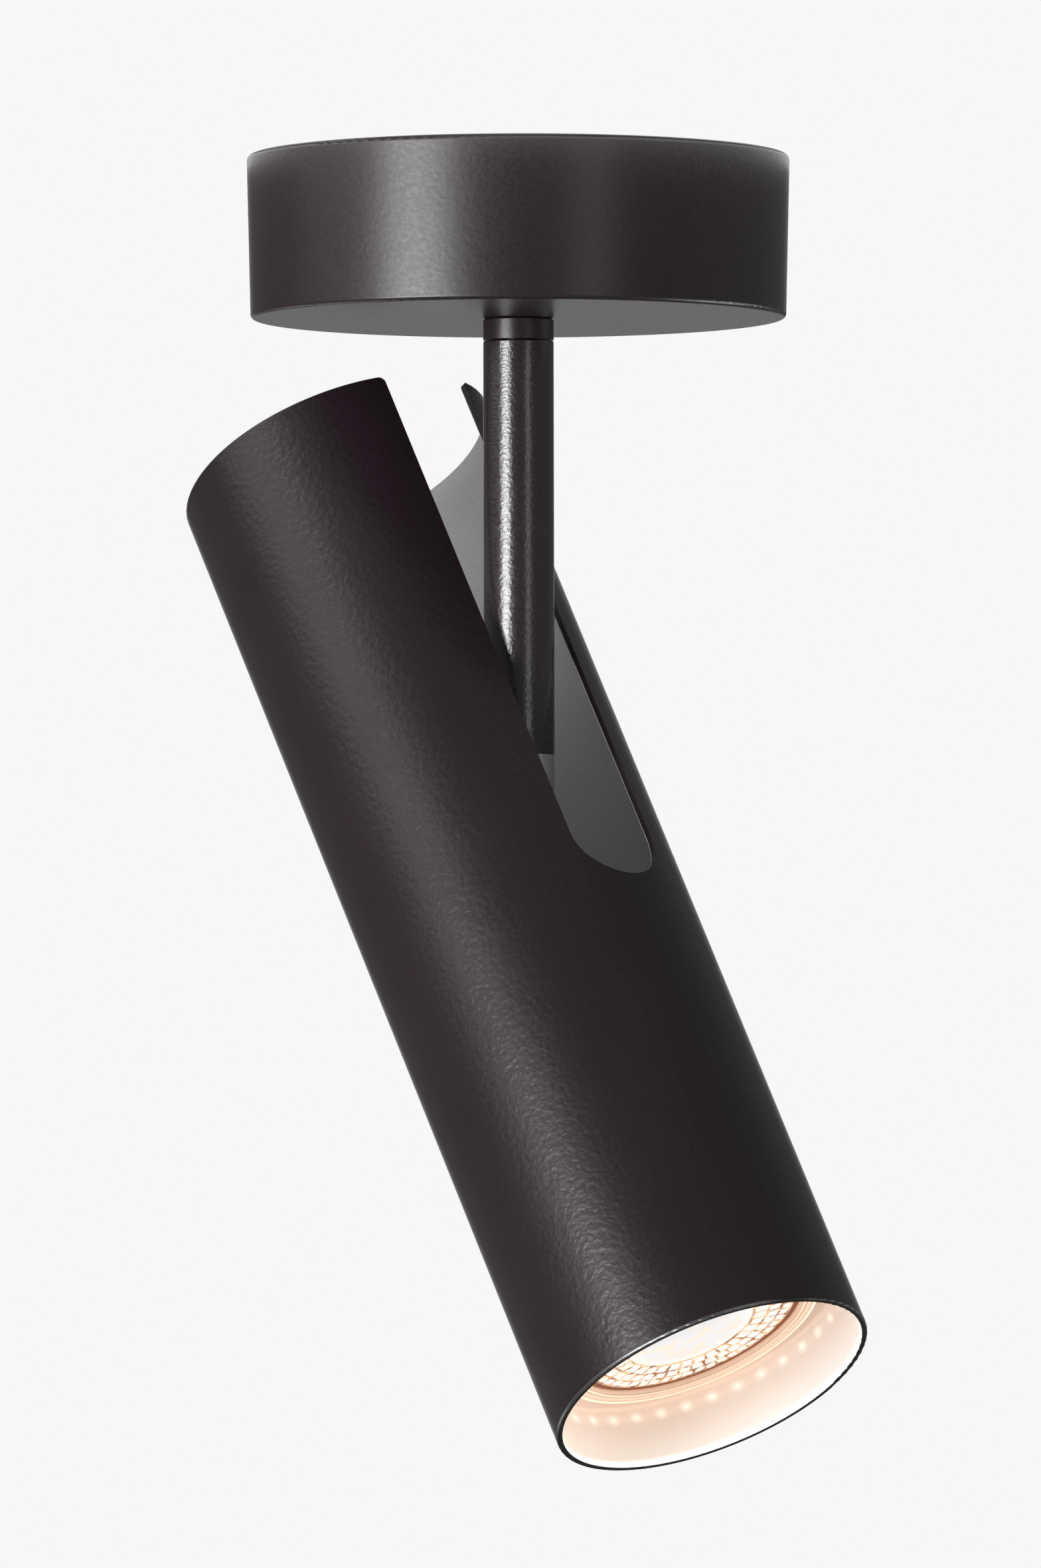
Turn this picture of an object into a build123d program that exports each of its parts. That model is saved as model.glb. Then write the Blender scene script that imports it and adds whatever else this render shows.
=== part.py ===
from build123d import *

import math
import os

# A ceiling spotlight: a canopy, a stem that swivels under it, and a slotted tube that tilts on the stem.
# Sizes are in millimetres. The origin is the centre of the canopy's rim, in the plane of the ceiling.
# +Z is up. The tube tilts in the XZ plane, its hinge lies along Y, and its mouth leans towards +X.

# Clearances
SEAT_GAP = 0.1  # round a piece that is fixed in its hole
RUNNING_GAP = 0.05  # round a shaft in its bearing, and between faces that slide on each other
PARTING_GAP = 0.2  # the fine line between the collar and the stem
REACH = 1.0  # how far a cutting tool runs past the face that it opens

# Shares that every edge of a kind takes
ROUND_LIMIT = 0.8  # the most of a sheet's thickness that a rounded edge may take
SOFT_EDGE = 0.5  # the radius of a moulded or turned edge, of the thickness that it ends
KEY_DEPTH = 0.6  # the depth of a key hole, of the screw head's height
NUT_BEVEL = 0.6  # the height of a nut's corner bevel, of its width

# Canopy
CANOPY_DIAMETER = 100.0
CANOPY_HEIGHT = 30.0
CANOPY_TAPER = 0.7  # how far the wall leans in between the ceiling and the underside
CANOPY_WALL = 1.2
CANOPY_RIM_ROUND = 0.9
CANOPY_EDGE_ROUND = 0.8

# Ceiling bracket, a bar with a lug on each side and a turned-down tab at each end
BRACKET_TURN = 48.5  # degrees from the tilt plane round to the bar
BRACKET_THICKNESS = 1.5
BRACKET_WIDTH = 20.0
BRACKET_LUG_WIDTH = 26.0
BRACKET_CORNER = 3.0
TAB_WIDTH = 14.0
TAB_DEPTH = 15.0
TAB_TO_CANOPY = 0.6
CEILING_HOLE_CIRCLE = 60.0
CEILING_HOLE_DIAMETER = 4.5
CANOPY_SCREW_DIAMETER = 4.0
CANOPY_SCREW_DROP = 9.0
CANOPY_SCREW_KEY = 2.0
CANOPY_SCREW_SUNK = 0.3
CANOPY_SCREW_PAST_TAB = 1.0

# Supply inlet
GROMMET_BORE = 8.0
GROMMET_WALL = 2.5
GROMMET_LIP = 2.0

# Terminal block and earth terminal
POLE_COUNT = 3
POLE_PITCH = 8.0
SLEEVE_BORE = 3.2
SLEEVE_WALL = 0.9
BLOCK_SKIN = 1.6  # plastic left round each sleeve
BLOCK_LENGTH = 17.0
BLOCK_HEIGHT = 13.0
BLOCK_FROM_AXIS = 16.0
BLOCK_LEDGE = 1.0  # bracket left showing past the block
TERMINAL_SCREW_DIAMETER = 2.6
TERMINAL_SCREW_FROM_END = 4.0
TERMINAL_SCREW_SUNK = 1.0
TERMINAL_SLOT_WIDTH = 0.5
TERMINAL_SLOT_DEPTH = 0.7
WIRE_SPACE = 2.4  # left in the bore past a clamp screw's tip
FIXING_SCREW_DIAMETER = 2.5
FIXING_HEAD_DIAMETER = 4.6
FIXING_HEAD_HEIGHT = 1.6
FIXING_SCREW_KEY = 1.5
EARTH_SCREW_DIAMETER = 4.0
EARTH_HEAD_DIAMETER = 8.0
EARTH_HEAD_HEIGHT = 2.6
EARTH_SCREW_KEY = 2.5
EARTH_WASHER_DIAMETER = 9.0
EARTH_WASHER_THICKNESS = 0.8
EARTH_FROM_AXIS = 19.0
EARTH_LUG_MARGIN = 6.0

# Stem and swivel
STEM_DIAMETER = 13.0
STEM_WALL = 1.5
STEM_END_ROUND = 0.3
COLLAR_HEIGHT = 4.0
COLLAR_CHAMFER = 0.4
PLUG_WALL = 1.5
PLUG_LENGTH = 12.0
NIPPLE_WALL = 1.2
NIPPLE_PROUD = 2.0
NECK_WALL = 1.5
NECK_PROUD = 0.5
COLLAR_NUT_HEIGHT = 4.0
COLLAR_NUT_RIM = 2.0  # from the thread to the nut's flats
STOP_PLATE_THICKNESS = 1.0
STOP_PLATE_RIM = 4.5
STOP_RADIUS = 13.0
STOP_TAB_WIDTH = 3.0
STOP_TAB_PROUD = 1.0
STOP_ARM_WIDTH = 2.4
STOP_ARM_THICKNESS = 1.2
STOP_ARM_PAST_TAB = 1.5
SWIVEL_WASHER_RIM = 3.0
SWIVEL_WASHER_THICKNESS = 0.8
SWIVEL_SPRING_HEIGHT = 1.2
SPRING_THICKNESS = 0.6
SWIVEL_NUT_HEIGHT = 4.5
SWIVEL_NUT_RIM = 2.2
BUSH_WALL = 0.5
BUSH_LENGTH = 5.0
BUSH_LIP = 1.0

# Hinge
PIVOT_BOLT_DIAMETER = 5.0
PIVOT_HEAD_RIM = 2.0
PIVOT_HEAD_HEIGHT = 3.0
PIVOT_KEY = 3.0
PIVOT_NUT_RIM = 1.6
PIVOT_NUT_HEIGHT = 4.0
PIVOT_BOLT_PROUD = 1.0
PIVOT_WASHER_THICKNESS = 0.5
PIVOT_SPRING_HEIGHT = 1.0
TONGUE_THICKNESS = 6.0
EAR_RADIUS = 7.5
EAR_TO_BARREL = 6.5  # from the ear's round end to the knuckle's full round
BARREL_LENGTH = 14.6
SPIGOT_LENGTH = 12.0
LEAD_HOLE_DIAMETER = 5.2
LEAD_EXIT_DROP = 5.5  # from the stem's end down to the leads' side hole
FORK_THICKNESS = 2.0
FORK_TO_EYE = 12.5  # from the knuckle's round end down to the fork's floor
FORK_END_MARGIN = 5.0

# Lamp with a twist-lock base of two studs
LAMP_DIAMETER = 50.0
LAMP_BODY_LENGTH = 46.5
BEZEL_WIDTH = 3.2
BEZEL_DEPTH = 2.5
BEZEL_ROUND = 0.8
LENS_SUNK = 0.4
LENS_THICKNESS = 3.0
LENS_DOME = 0.8
SHELL_RIM_LENGTH = 4.5
SHELL_WALL = 1.6
SHELL_CAVITY = 7.0
SHELL_BACK_DIAMETER = 29.0
FIN_COUNT = 20
FIN_THICKNESS = 2.0
FIN_DEPTH = 1.8
BOARD_THICKNESS = 1.6
LED_COUNT = 6
LED_SIZE = 3.0
LED_HEIGHT = 0.8
LED_CIRCLE = 22.0
CAP_LENGTH = 10.0
CAP_MARGIN = 2.6
CAP_WIDTH = 13.0
PIN_SPACING = 10.0
PIN_HEAD_DIAMETER = 4.8
PIN_HEAD_LENGTH = 3.3
PIN_HEAD_ROUND = 0.7
PIN_NECK_DIAMETER = 3.0
PIN_ROOT = 4.0  # length of the pin held in the cap
TWIST_ANGLE = 40.0

# Lamp holder
HOLDER_GAP = 0.3  # between the lamp's cap and the holder's face
HOLDER_HEIGHT = 22.0
HOLDER_WALL = 2.2
HOLDER_SCREW_SPACING = 22.0
HOLDER_END_MARGIN = 4.2
HOLDER_SCREW_DIAMETER = 3.0
HOLDER_HEAD_DIAMETER = 5.5
HOLDER_HEAD_HEIGHT = 2.4
HOLDER_SCREW_KEY = 2.0
KEYWAY_PLATE = 3.0
KEYWAY_GAP = 0.3  # round the pins, all the way along their travel
CONTACT_THICKNESS = 0.6
CONTACT_TAIL_DIAMETER = 1.6
CONTACT_TAIL_LENGTH = 4.0
LEAD_CHANNEL_WIDTH = 6.0
LEAD_CHANNEL_DEPTH = 4.0

# Shade tube and the bulkhead inside it
LAMP_AIR_GAP = 3.8  # from the lamp's rim to the tube's white inside
LAMP_RECESS = 11.0  # from the tube's mouth in to the lamp's face
SHADE_WALL = 1.2
SHADE_ABOVE_PIVOT = 99.0
SHADE_EDGE_ROUND = 0.35
CANOPY_TO_SHADE = 10.0  # clear height over the tube when it hangs straight
SLOT_SIDE_GAP = 3.3
SLOT_END_GAP = 4.5
SLOT_CORNER_ROUND = 1.5
BULKHEAD_THICKNESS = 1.2
BULKHEAD_SKIRT = 9.0
LEAD_GROMMET_BORE = 5.0
LEAD_GROMMET_WALL = 1.5
LEAD_GROMMET_LIP = 1.2
LEAD_GROMMET_TO_HOLDER = 1.9  # clear between the grommet's lip and the lamp holder
SHADE_SCREW_DIAMETER = 3.0
SHADE_SCREW_LENGTH = 5.0
SHADE_HEAD_DIAMETER = 5.6
SHADE_HEAD_HEIGHT = 1.6
SHADE_SCREW_KEY = 2.0
SHADE_SCREW_ANGLES = (160.0, 200.0)  # degrees round from the slot, on the tube's back
REST_TILT = 31.0  # degrees that the tube leans from hanging straight

# Levels and radii that follow from the sizes above
FLOOR_BOTTOM = -CANOPY_HEIGHT
FLOOR_TOP = FLOOR_BOTTOM + CANOPY_WALL
COLLAR_BOTTOM = FLOOR_BOTTOM - COLLAR_HEIGHT
STEM_TOP = COLLAR_BOTTOM - PARTING_GAP
STEM_RADIUS = STEM_DIAMETER / 2
STEM_BORE_RADIUS = STEM_RADIUS - STEM_WALL
NIPPLE_RADIUS = STEM_BORE_RADIUS - PLUG_WALL
NIPPLE_BORE_RADIUS = NIPPLE_RADIUS - NIPPLE_WALL
NECK_RADIUS = NIPPLE_RADIUS + NECK_WALL
STOP_PLATE_TOP = FLOOR_TOP + STOP_PLATE_THICKNESS
COLLAR_NUT_TOP = STOP_PLATE_TOP + COLLAR_NUT_HEIGHT
NECK_TOP = COLLAR_NUT_TOP + NECK_PROUD
SWIVEL_WASHER_BOTTOM = NECK_TOP + RUNNING_GAP
STOP_ARM_BOTTOM = SWIVEL_WASHER_BOTTOM + SWIVEL_WASHER_THICKNESS
STOP_ARM_TOP = STOP_ARM_BOTTOM + STOP_ARM_THICKNESS
SWIVEL_NUT_BOTTOM = STOP_ARM_TOP + SWIVEL_SPRING_HEIGHT
SWIVEL_NUT_TOP = SWIVEL_NUT_BOTTOM + SWIVEL_NUT_HEIGHT
NIPPLE_TOP = SWIVEL_NUT_TOP + NIPPLE_PROUD
STOP_TAB_TOP = STOP_ARM_TOP + STOP_TAB_PROUD

PIVOT_DROP = CANOPY_HEIGHT + CANOPY_TO_SHADE + SHADE_ABOVE_PIVOT
PIVOT_BOLT_RADIUS = PIVOT_BOLT_DIAMETER / 2
TONGUE_LENGTH = EAR_RADIUS + EAR_TO_BARREL
STEM_END_ABOVE_PIVOT = TONGUE_LENGTH + BARREL_LENGTH
STEM_BOTTOM = STEM_END_ABOVE_PIVOT - PIVOT_DROP
EAR_INSIDE = TONGUE_THICKNESS / 2 + PIVOT_WASHER_THICKNESS + RUNNING_GAP
EAR_OUTSIDE = EAR_INSIDE + FORK_THICKNESS

# Heights in the tube's own frame: the hinge is at zero, and the mouth is below it
FORK_TOP = -STEM_RADIUS - FORK_TO_EYE
FORK_BOTTOM = FORK_TOP - FORK_THICKNESS
HOLDER_TOP = FORK_BOTTOM - BULKHEAD_THICKNESS
HOLDER_FACE = HOLDER_TOP - HOLDER_HEIGHT
LAMP_BACK = HOLDER_FACE - HOLDER_GAP
LAMP_FACE = LAMP_BACK - LAMP_BODY_LENGTH
SHADE_BOTTOM = LAMP_FACE - LAMP_RECESS
SHADE_INNER_RADIUS = LAMP_DIAMETER / 2 + LAMP_AIR_GAP
SHADE_RADIUS = SHADE_INNER_RADIUS + SHADE_WALL
SLOT_WIDTH = STEM_DIAMETER + 2 * SLOT_SIDE_GAP
SLOT_END = -STEM_RADIUS - SLOT_END_GAP
BULKHEAD_RADIUS = SHADE_INNER_RADIUS - SEAT_GAP
SHADE_SCREW_HEIGHT = HOLDER_TOP - BULKHEAD_SKIRT / 2
LENS_RADIUS = LAMP_DIAMETER / 2 - BEZEL_WIDTH
LENS_FRONT = LAMP_FACE + LENS_SUNK
SHELL_FRONT = LAMP_FACE + BEZEL_DEPTH
SHELL_CONE = SHELL_FRONT + SHELL_RIM_LENGTH
SHELL_BACK = LAMP_BACK - CAP_LENGTH
CAVITY_BACK = SHELL_FRONT + SHELL_CAVITY
PIN_HEAD_BOTTOM = HOLDER_FACE + KEYWAY_PLATE + KEYWAY_GAP
PIN_TOP = PIN_HEAD_BOTTOM + PIN_HEAD_LENGTH
KEYWAY_TOP = PIN_TOP + KEYWAY_GAP + CONTACT_THICKNESS
KEYWAY_HEAD_RADIUS = PIN_HEAD_DIAMETER / 2 + KEYWAY_GAP
KEYWAY_NECK_RADIUS = PIN_NECK_DIAMETER / 2 + KEYWAY_GAP
HOLDER_WIDTH = PIN_SPACING + 2 * (KEYWAY_HEAD_RADIUS + HOLDER_WALL)
HOLDER_LENGTH = HOLDER_SCREW_SPACING + 2 * HOLDER_END_MARGIN
LEAD_GROMMET_RADIUS = LEAD_GROMMET_BORE / 2 + LEAD_GROMMET_WALL
LEAD_GROMMET_LIP_RADIUS = LEAD_GROMMET_RADIUS + LEAD_GROMMET_LIP
LEAD_GROMMET_FROM_AXIS = HOLDER_WIDTH / 2 + LEAD_GROMMET_TO_HOLDER + LEAD_GROMMET_LIP_RADIUS

# Places of the three assemblies
BRACKET_PLACE = Rot(Z=BRACKET_TURN)
HEAD_PLACE = Pos(0, 0, -PIVOT_DROP) * Rot(Y=-REST_TILT)


def rod(radius, low, high):
    """A cylinder on the Z axis between two heights."""
    return Pos(0, 0, (low + high) / 2) * Cylinder(radius, high - low)


def ring(outer, inner, low, high):
    """A washer or tube on the Z axis between two heights."""
    return rod(outer, low, high) - rod(inner, low - REACH, high + REACH)


def block(x_range, y_range, z_range):
    """A box between the given limits."""
    spans = (x_range, y_range, z_range)
    centre = [(low + high) / 2 for low, high in spans]
    return Pos(*centre) * Box(*[high - low for low, high in spans])


def prism(flats, low, high):
    """A hexagonal bar on the Z axis, given its width across the flats."""
    section = RegularPolygon(flats / 2, 6, major_radius=False)
    return Pos(0, 0, low) * extrude(section, high - low)


def nut(thread_radius, rim, low, high):
    """A hexagonal nut with bevelled corners."""
    flats = 2 * (thread_radius + rim)
    corner = flats / math.sqrt(3)
    bevel = corner - flats / 2
    blank = rod(corner, low, high)
    blank = chamfer(blank.edges().filter_by(GeomType.CIRCLE), bevel * NUT_BEVEL, bevel)
    return (blank & prism(flats, low, high)) - rod(thread_radius + SEAT_GAP, low, high)


def cupped_washer(outer, inner, low, high):
    """A cone-shaped spring washer that is highest round its hole."""
    rise = high - low - SPRING_THICKNESS
    corners = [
        (inner, low + rise),
        (outer, low),
        (outer, low + SPRING_THICKNESS),
        (inner, high),
    ]
    section = make_face(Polyline(*corners, close=True))
    return revolve(Plane.XZ * section, Axis.Z)


def screw(thread_radius, length, head_radius, head_height, key):
    """A screw whose head stands on Z = 0, with a hexagonal key hole. Its shank runs down from there."""
    head = rod(head_radius, 0, head_height)
    head = fillet(head.edges().group_by(Axis.Z)[-1], head_height * SOFT_EDGE)
    key_hole = prism(key, head_height * (1 - KEY_DEPTH), head_height + REACH)
    return rod(thread_radius, -length, 0) + head - key_hole


def canopy_radius(height):
    """The outer radius of the canopy's wall at a height."""
    return CANOPY_DIAMETER / 2 + CANOPY_TAPER * height / CANOPY_HEIGHT


def bracket_end():
    """Where the flat outer face of a bracket tab stands inside the canopy's round wall."""
    inside = canopy_radius(-TAB_DEPTH) - CANOPY_WALL - TAB_TO_CANOPY
    return math.sqrt(inside**2 - (TAB_WIDTH / 2) ** 2)


def along_bar(shape, distance, height):
    """Turns a piece on the Z axis to point out along the bracket's bar."""
    return Pos(distance, 0, height) * Rot(Y=90) * shape


def canopy():
    """The cup over the wiring, with its swivel hole and the two side screw holes."""
    outer = Cone(canopy_radius(FLOOR_BOTTOM), canopy_radius(0), CANOPY_HEIGHT)
    depth = -FLOOR_TOP
    hollow = Cone(canopy_radius(FLOOR_TOP) - CANOPY_WALL, canopy_radius(0) - CANOPY_WALL, depth)
    cup = Pos(0, 0, FLOOR_BOTTOM / 2) * outer - Pos(0, 0, FLOOR_TOP / 2) * hollow
    rim = cup.edges().group_by(Axis.Z)[-1].sort_by(SortBy.RADIUS)[-1]
    cup = fillet(rim, min(CANOPY_RIM_ROUND, ROUND_LIMIT * CANOPY_WALL))
    edge = cup.edges().group_by(Axis.Z)[0].sort_by(SortBy.RADIUS)[-1]
    cup = fillet(edge, CANOPY_EDGE_ROUND)
    cup -= rod(NECK_RADIUS + SEAT_GAP, FLOOR_BOTTOM - REACH, FLOOR_TOP + REACH)
    bore = rod(CANOPY_SCREW_DIAMETER / 2 + SEAT_GAP, -CANOPY_DIAMETER, CANOPY_DIAMETER)
    return cup - BRACKET_PLACE * along_bar(bore, 0, -CANOPY_SCREW_DROP)


def ceiling_bracket():
    """The steel strap that is screwed to the ceiling and carries the canopy and the terminals."""
    end = bracket_end()
    block_end = BLOCK_FROM_AXIS + BLOCK_LENGTH + BLOCK_LEDGE
    earth_end = EARTH_FROM_AXIS + EARTH_LUG_MARGIN
    sheet = (-BRACKET_THICKNESS, 0)
    half_lug = BRACKET_LUG_WIDTH / 2
    bar = block((-end, end), (-BRACKET_WIDTH / 2, BRACKET_WIDTH / 2), sheet)
    lug = block((-half_lug, half_lug), (-earth_end, block_end), sheet)
    lug = fillet(lug.edges().filter_by(Axis.Z), BRACKET_CORNER)
    strap = bar + lug
    for side in (-1, 1):
        faces = sorted((side * end, side * (end - BRACKET_THICKNESS)))
        tab = block(faces, (-TAB_WIDTH / 2, TAB_WIDTH / 2), (-TAB_DEPTH, 0))
        tab = fillet(tab.edges().filter_by(Axis.X).group_by(Axis.Z)[0], BRACKET_CORNER)
        strap += tab
        place = Pos(side * CEILING_HOLE_CIRCLE / 2, 0, 0)
        strap -= place * rod(CEILING_HOLE_DIAMETER / 2, -BRACKET_THICKNESS - REACH, REACH)
    ends = strap.edges().filter_by(Axis.Z)
    ends = [edge for edge in ends if abs(abs(edge.center().X) - end) < SEAT_GAP]
    ends = [edge for edge in ends if abs(edge.center().Y) > TAB_WIDTH / 2 + SEAT_GAP]
    strap = fillet(ends, BRACKET_CORNER * SOFT_EDGE)
    thread = rod(CANOPY_SCREW_DIAMETER / 2 + RUNNING_GAP, -CANOPY_DIAMETER, CANOPY_DIAMETER)
    strap -= along_bar(thread, 0, -CANOPY_SCREW_DROP)
    strap -= rod(GROMMET_BORE / 2 + GROMMET_WALL + SEAT_GAP, -BRACKET_THICKNESS - REACH, REACH)
    earth_hole = rod(EARTH_SCREW_DIAMETER / 2 + SEAT_GAP, -BRACKET_THICKNESS - REACH, REACH)
    strap -= Pos(0, -EARTH_FROM_AXIS, 0) * earth_hole
    fixing_hole = rod(FIXING_SCREW_DIAMETER / 2 + SEAT_GAP, -BRACKET_THICKNESS - REACH, REACH)
    return BRACKET_PLACE * (strap - fixing_place() * fixing_hole)


def canopy_screws():
    """Two grub screws, sunk a little in the canopy's side and threaded into the bracket's tabs."""
    outside = canopy_radius(-CANOPY_SCREW_DROP) - CANOPY_SCREW_SUNK
    inside = bracket_end() - BRACKET_THICKNESS - CANOPY_SCREW_PAST_TAB
    grub = rod(CANOPY_SCREW_DIAMETER / 2, inside, outside)
    grub -= prism(CANOPY_SCREW_KEY, outside - CANOPY_SCREW_KEY, outside + REACH)
    pair = [along_bar(grub, 0, -CANOPY_SCREW_DROP)]
    pair.append(Rot(Z=180) * pair[0])
    return BRACKET_PLACE * Compound(pair)


def cable_grommet():
    """The rubber bush that the supply comes in through, flush with the ceiling."""
    bore = GROMMET_BORE / 2
    lip_bottom = -BRACKET_THICKNESS - GROMMET_LIP
    lip = rod(bore + GROMMET_WALL + GROMMET_LIP, lip_bottom, -BRACKET_THICKNESS)
    lip = fillet(lip.edges().group_by(Axis.Z)[0], GROMMET_LIP * SOFT_EDGE)
    body = lip + rod(bore + GROMMET_WALL, -BRACKET_THICKNESS, 0)
    return BRACKET_PLACE * (body - rod(bore, lip_bottom - REACH, REACH))


def pole_offsets():
    """The places of the terminal poles across the block."""
    return [POLE_PITCH * (pole - (POLE_COUNT - 1) / 2) for pole in range(POLE_COUNT)]


def fixing_place():
    """The terminal block's fixing screw, between its first two poles."""
    return Pos(pole_offsets()[0] + POLE_PITCH / 2, BLOCK_FROM_AXIS + BLOCK_LENGTH / 2, 0)


def sleeve_height():
    """The height of the wire bores' axes, in the middle of the block."""
    return -BRACKET_THICKNESS - BLOCK_HEIGHT / 2


def terminal_screw_places():
    """Two clamp screws to a pole, one near each end of its sleeve."""
    near = BLOCK_FROM_AXIS + TERMINAL_SCREW_FROM_END
    far = BLOCK_FROM_AXIS + BLOCK_LENGTH - TERMINAL_SCREW_FROM_END
    return [Pos(pole, row, 0) for pole in pole_offsets() for row in (near, far)]


def sleeve_rod(radius, extra):
    """A round bar along a terminal pole, longer than the block by the given amount at each end."""
    bar = rod(radius, -extra, BLOCK_LENGTH + extra)
    return Pos(0, BLOCK_FROM_AXIS, sleeve_height()) * Rot(X=-90) * bar


def terminal_block():
    """The plastic block with a wire way through each pole and a well for each clamp screw."""
    sleeve = SLEEVE_BORE / 2 + SLEEVE_WALL
    half = POLE_PITCH * (POLE_COUNT - 1) / 2 + sleeve + BLOCK_SKIN
    bottom = -BRACKET_THICKNESS - BLOCK_HEIGHT
    ends = (BLOCK_FROM_AXIS, BLOCK_FROM_AXIS + BLOCK_LENGTH)
    body = block((-half, half), ends, (bottom, -BRACKET_THICKNESS))
    body = fillet(body.edges().filter_by(Axis.Z), BLOCK_SKIN * SOFT_EDGE)
    for pole in pole_offsets():
        body -= Pos(pole, 0, 0) * sleeve_rod(sleeve + SEAT_GAP, REACH)
    well = rod(TERMINAL_SCREW_DIAMETER / 2 + SEAT_GAP, bottom - REACH, sleeve_height())
    for place in terminal_screw_places():
        body -= place * well
    body -= fixing_place() * rod(FIXING_SCREW_DIAMETER / 2 + SEAT_GAP, bottom - REACH, 0)
    return BRACKET_PLACE * body


def terminal_sleeves():
    """A brass sleeve in each pole, with two threaded holes for its clamp screws."""
    sleeve = sleeve_rod(SLEEVE_BORE / 2 + SLEEVE_WALL, 0) - sleeve_rod(SLEEVE_BORE / 2, REACH)
    low = sleeve_height() - BLOCK_HEIGHT
    thread = rod(TERMINAL_SCREW_DIAMETER / 2 + SEAT_GAP, low, sleeve_height())
    sleeves = []
    for pole in pole_offsets():
        piece = Pos(pole, 0, 0) * sleeve
        for place in terminal_screw_places():
            piece -= place * thread
        sleeves.append(piece)
    return BRACKET_PLACE * Compound(sleeves)


def terminal_screws():
    """The slotted clamp screws, each reaching a little way into its wire bore."""
    top = sleeve_height() + SLEEVE_BORE / 2 - WIRE_SPACE
    bottom = -BRACKET_THICKNESS - BLOCK_HEIGHT + TERMINAL_SCREW_SUNK
    radius = TERMINAL_SCREW_DIAMETER / 2
    half_slot = TERMINAL_SLOT_WIDTH / 2
    clamp = rod(radius, bottom, top)
    clamp -= block((-radius, radius), (-half_slot, half_slot), (bottom, bottom + TERMINAL_SLOT_DEPTH))
    return BRACKET_PLACE * Compound([place * clamp for place in terminal_screw_places()])


def terminal_fixing_screw():
    """The screw that holds the terminal block to the bracket, with its head under the block."""
    bottom = -BRACKET_THICKNESS - BLOCK_HEIGHT
    length = BLOCK_HEIGHT + BRACKET_THICKNESS
    head_radius = FIXING_HEAD_DIAMETER / 2
    fixing = screw(FIXING_SCREW_DIAMETER / 2, length, head_radius, FIXING_HEAD_HEIGHT, FIXING_SCREW_KEY)
    return BRACKET_PLACE * fixing_place() * Pos(0, 0, bottom) * Rot(X=180) * fixing


def earth_washer():
    """The plain washer that clamps the earth lead to the bracket."""
    low = -BRACKET_THICKNESS - EARTH_WASHER_THICKNESS
    washer = ring(EARTH_WASHER_DIAMETER / 2, EARTH_SCREW_DIAMETER / 2 + SEAT_GAP, low, -BRACKET_THICKNESS)
    return BRACKET_PLACE * Pos(0, -EARTH_FROM_AXIS, 0) * washer


def earth_screw():
    """The earth terminal's screw, from below."""
    bottom = -BRACKET_THICKNESS - EARTH_WASHER_THICKNESS
    head_radius = EARTH_HEAD_DIAMETER / 2
    earth = screw(EARTH_SCREW_DIAMETER / 2, -bottom, head_radius, EARTH_HEAD_HEIGHT, EARTH_SCREW_KEY)
    return BRACKET_PLACE * Pos(0, -EARTH_FROM_AXIS, bottom) * Rot(X=180) * earth


def swivel_collar():
    """The ring under the canopy, with a threaded neck up through its floor that the nipple turns in."""
    flange = rod(STEM_RADIUS, COLLAR_BOTTOM, FLOOR_BOTTOM)
    flange = chamfer(flange.edges().group_by(Axis.Z)[-1], COLLAR_CHAMFER)
    collar = flange + rod(NECK_RADIUS, FLOOR_BOTTOM, NECK_TOP)
    return collar - rod(NIPPLE_RADIUS + RUNNING_GAP, COLLAR_BOTTOM - REACH, NECK_TOP + REACH)


def swivel_stop_plate():
    """The fixed stop: a plate under the collar's nut with one tab turned up."""
    plate = rod(NECK_RADIUS + STOP_PLATE_RIM, FLOOR_TOP, STOP_PLATE_TOP)
    half = STOP_TAB_WIDTH / 2
    inside = STOP_RADIUS - STOP_PLATE_THICKNESS
    plate += block((0, STOP_RADIUS), (-half, half), (FLOOR_TOP, STOP_PLATE_TOP))
    plate += block((inside, STOP_RADIUS), (-half, half), (FLOOR_TOP, STOP_TAB_TOP))
    return plate - rod(NECK_RADIUS + SEAT_GAP, FLOOR_TOP - REACH, STOP_PLATE_TOP + REACH)


def collar_nut():
    """The nut that clamps the collar and the stop plate to the canopy's floor."""
    return nut(NECK_RADIUS, COLLAR_NUT_RIM, STOP_PLATE_TOP, COLLAR_NUT_TOP)


def swivel_friction_washer():
    """The plastic washer that the stem hangs on and turns on."""
    outer = NIPPLE_RADIUS + SWIVEL_WASHER_RIM
    return ring(outer, NIPPLE_RADIUS + SEAT_GAP, SWIVEL_WASHER_BOTTOM, STOP_ARM_BOTTOM)


def swivel_stop_arm():
    """The turning stop: a washer keyed to the nipple, with an arm that meets the tab."""
    arm = rod(NIPPLE_RADIUS + SWIVEL_WASHER_RIM, STOP_ARM_BOTTOM, STOP_ARM_TOP)
    half = STOP_ARM_WIDTH / 2
    tip = -STOP_RADIUS - STOP_ARM_PAST_TAB
    arm += block((tip, 0), (-half, half), (STOP_ARM_BOTTOM, STOP_ARM_TOP))
    return arm - rod(NIPPLE_RADIUS + SEAT_GAP, STOP_ARM_BOTTOM - REACH, STOP_ARM_TOP + REACH)


def swivel_spring_washer():
    """The spring washer that keeps the swivel stiff."""
    outer = NIPPLE_RADIUS + SWIVEL_WASHER_RIM
    return cupped_washer(outer, NIPPLE_RADIUS + SEAT_GAP, STOP_ARM_TOP, SWIVEL_NUT_BOTTOM)


def swivel_nut():
    """The lock nut on the nipple's top end."""
    return nut(NIPPLE_RADIUS, SWIVEL_NUT_RIM, SWIVEL_NUT_BOTTOM, SWIVEL_NUT_TOP)


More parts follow.
